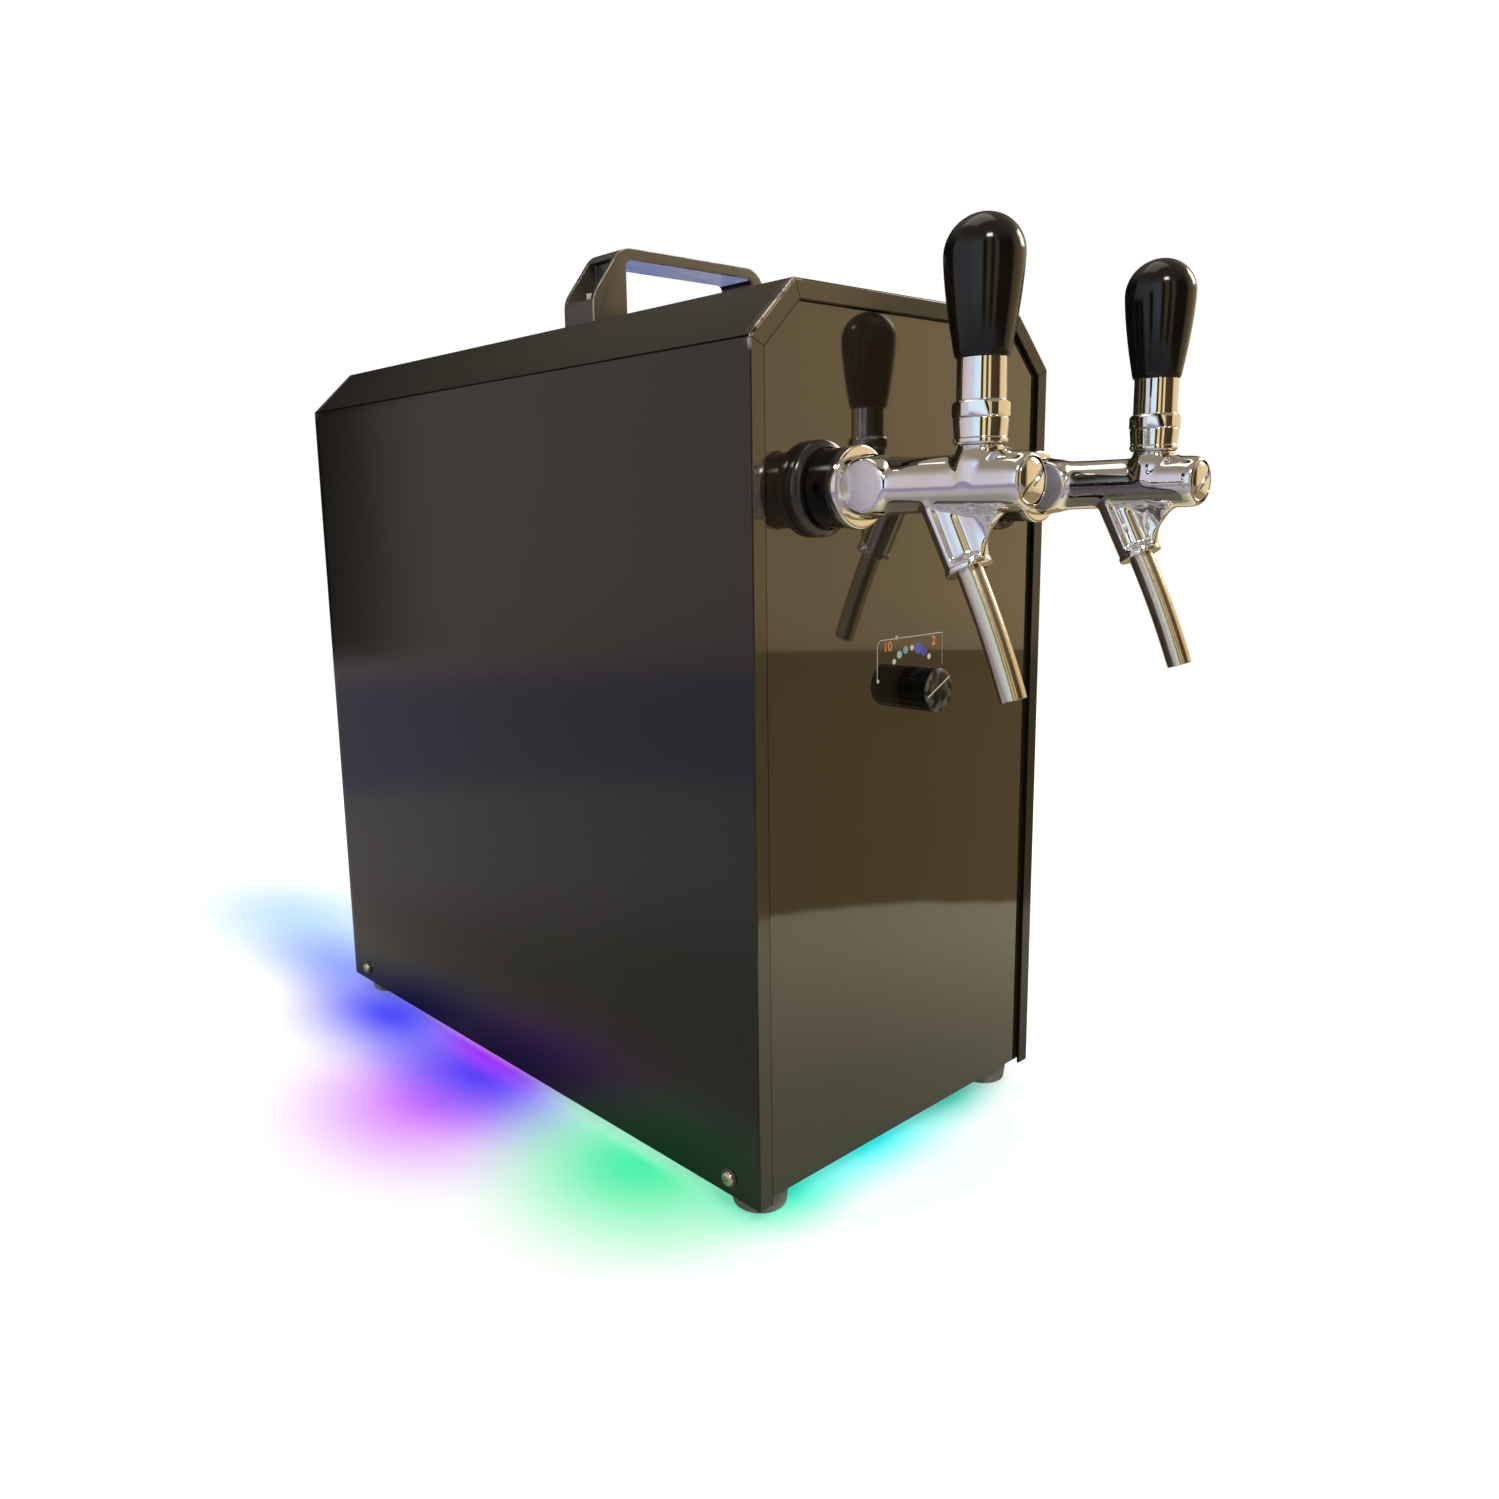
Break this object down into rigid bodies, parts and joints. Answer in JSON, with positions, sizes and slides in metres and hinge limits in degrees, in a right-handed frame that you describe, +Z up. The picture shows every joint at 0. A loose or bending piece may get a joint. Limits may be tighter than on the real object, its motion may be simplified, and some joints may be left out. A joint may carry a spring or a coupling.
{
  "type": "two-tap beer cooler",
  "caption": "Countertop beer cooler: tall folded cabinet with sloping shoulders, lever taps with bent spouts, a thermostat knob, a carry handle and rubber feet.",
  "frame": {"origin": "on the floor, in the middle of the overall length and width", "axes": "+Z up, the front with the taps towards -Y, +X to the right as seen from the front"},
  "size_m": [0.2364, 0.5565, 0.4843],
  "materials": {
    "dark_paint": "satin black-brown paint",
    "gloss_black": "high gloss",
    "rear_paint": "satin",
    "tray_steel": "satin",
    "rubber": "matt",
    "strip_white": "matt",
    "lamp_yellow": "gloss",
    "steel": "polished",
    "dark_ring": "matt",
    "black_plastic": "fine grain",
    "grey_plastic": "gloss",
    "brass": "turned",
    "black_nut": "gloss",
    "disc_chrome": "polished",
    "chrome": "polished",
    "seal_rubber": "matt",
    "case_plastic": "matt",
    "knob_black": "gloss",
    "foam": "matt",
    "aluminium": "cast",
    "compressor_paint": "gloss",
    "motor_paint": "satin",
    "fan_plastic": "matt",
    "copper": "drawn",
    "inlet_black": "matt",
    "rocker_black": "gloss",
    "handle_black": "gloss",
    "piston_plastic": "matt"
  },
  "bodies": {
    "cabinet": {"outer_cover": "dark_paint", "front_panel": "gloss_black", "rear_panel": "rear_paint", "base_tray": "tray_steel", "rubber_feet": "rubber", "light_strip": "strip_white", "strip_lamps": "lamp_yellow", "cover_screws": "steel", "screw_washers": "dark_ring", "carry_handle": "black_plastic", "handle_bolts": "steel", "rosettes": "grey_plastic", "tap_shanks": "brass", "back_nuts": "brass", "coupling_nuts": "black_nut", "side_discs": "disc_chrome", "nose_plugs": "chrome", "pivot_pins": "steel", "spout_seals": "seal_rubber", "thermostat": "case_plastic", "foam_case": "foam", "foam_lid": "foam", "cold_block": "aluminium", "beer_lines": "steel", "line_grommets": "rubber", "compressor": "compressor_paint", "compressor_mounts": "rubber", "condenser": "aluminium", "fan_shroud": "tray_steel", "fan_motor": "motor_paint", "gas_lines": "copper", "mains_inlet": "inlet_black", "inlet_pins": "steel", "power_switch": "inlet_black", "control_box": "case_plastic", "left_tap_body": "chrome", "left_spout": "steel", "right_tap_body": "chrome", "right_spout": "steel"},
    "dial_knob": {"thermostat_knob": "knob_black"},
    "fan_wheel": {"fan_blades": "fan_plastic"},
    "rocker": {"switch_rocker": "rocker_black"},
    "left_lever_body": {"left_lever_stem": "steel", "left_lever_collar": "chrome", "left_lock_nut": "chrome", "left_handle_ferrule": "chrome", "left_tap_handle": "handle_black"},
    "left_valve_body": {"left_valve_piston": "piston_plastic", "left_valve_seal": "seal_rubber"},
    "left_flow_lever_body": {"left_flow_lever": "chrome"},
    "left_flow_cone_body": {"left_flow_cone": "piston_plastic"},
    "right_lever_body": {"right_lever_stem": "steel", "right_lever_collar": "chrome", "right_lock_nut": "chrome", "right_handle_ferrule": "chrome", "right_tap_handle": "handle_black"},
    "right_valve_body": {"right_valve_piston": "piston_plastic", "right_valve_seal": "seal_rubber"},
    "right_flow_lever_body": {"right_flow_lever": "chrome"},
    "right_flow_cone_body": {"right_flow_cone": "piston_plastic"}
  },
  "joints": [
    {"name": "left_lever_tilt", "type": "hinge", "parent": "cabinet", "child": "left_lever_body", "pos_m": [-0.071, -0.25275, 0.3624], "axis": [1, 0, 0], "range_deg": [0, 20]},
    {"name": "left_valve_slide", "type": "slide", "parent": "cabinet", "child": "left_valve_body", "axis": [0, 1, 0], "range_m": [0, 0.0045]},
    {"name": "left_flow_lever_turn", "type": "hinge", "parent": "cabinet", "child": "left_flow_lever_body", "pos_m": [-0.071, -0.20225, 0.35], "axis": [1, 0, 0], "range_deg": [-40, 40]},
    {"name": "left_flow_cone_slide", "type": "slide", "parent": "cabinet", "child": "left_flow_cone_body", "axis": [0, 1, 0], "range_m": [-0.0016, 0.0016]},
    {"name": "right_lever_tilt", "type": "hinge", "parent": "cabinet", "child": "right_lever_body", "pos_m": [0.071, -0.25275, 0.3624], "axis": [1, 0, 0], "range_deg": [0, 20]},
    {"name": "right_valve_slide", "type": "slide", "parent": "cabinet", "child": "right_valve_body", "axis": [0, 1, 0], "range_m": [0, 0.0045]},
    {"name": "right_flow_lever_turn", "type": "hinge", "parent": "cabinet", "child": "right_flow_lever_body", "pos_m": [0.071, -0.20225, 0.35], "axis": [1, 0, 0], "range_deg": [-40, 40]},
    {"name": "right_flow_cone_slide", "type": "slide", "parent": "cabinet", "child": "right_flow_cone_body", "axis": [0, 1, 0], "range_m": [-0.0016, 0.0016]},
    {"name": "dial_turn", "type": "hinge", "parent": "cabinet", "child": "dial_knob", "pos_m": [0, -0.16775, 0.2508], "axis": [0, -1, 0], "range_deg": [0, 90]},
    {"name": "fan_spin", "type": "hinge", "parent": "cabinet", "child": "fan_wheel", "pos_m": [0, 0.19, 0.196], "axis": [0, 1, 0], "continuous": true},
    {"name": "rocker_tip", "type": "hinge", "parent": "cabinet", "child": "rocker", "pos_m": [0.01, 0.2488, 0.062], "axis": [1, 0, 0], "range_deg": [-20, 0]}
  ],
  "couplings": [
    {"joint": "left_valve_slide", "follows": "left_lever_tilt", "m_per_rad": 0.0124},
    {"joint": "left_flow_cone_slide", "follows": "left_flow_lever_turn", "m_per_rad": -0.0021},
    {"joint": "right_valve_slide", "follows": "right_lever_tilt", "m_per_rad": 0.0124},
    {"joint": "right_flow_cone_slide", "follows": "right_flow_lever_turn", "m_per_rad": -0.0021}
  ]
}
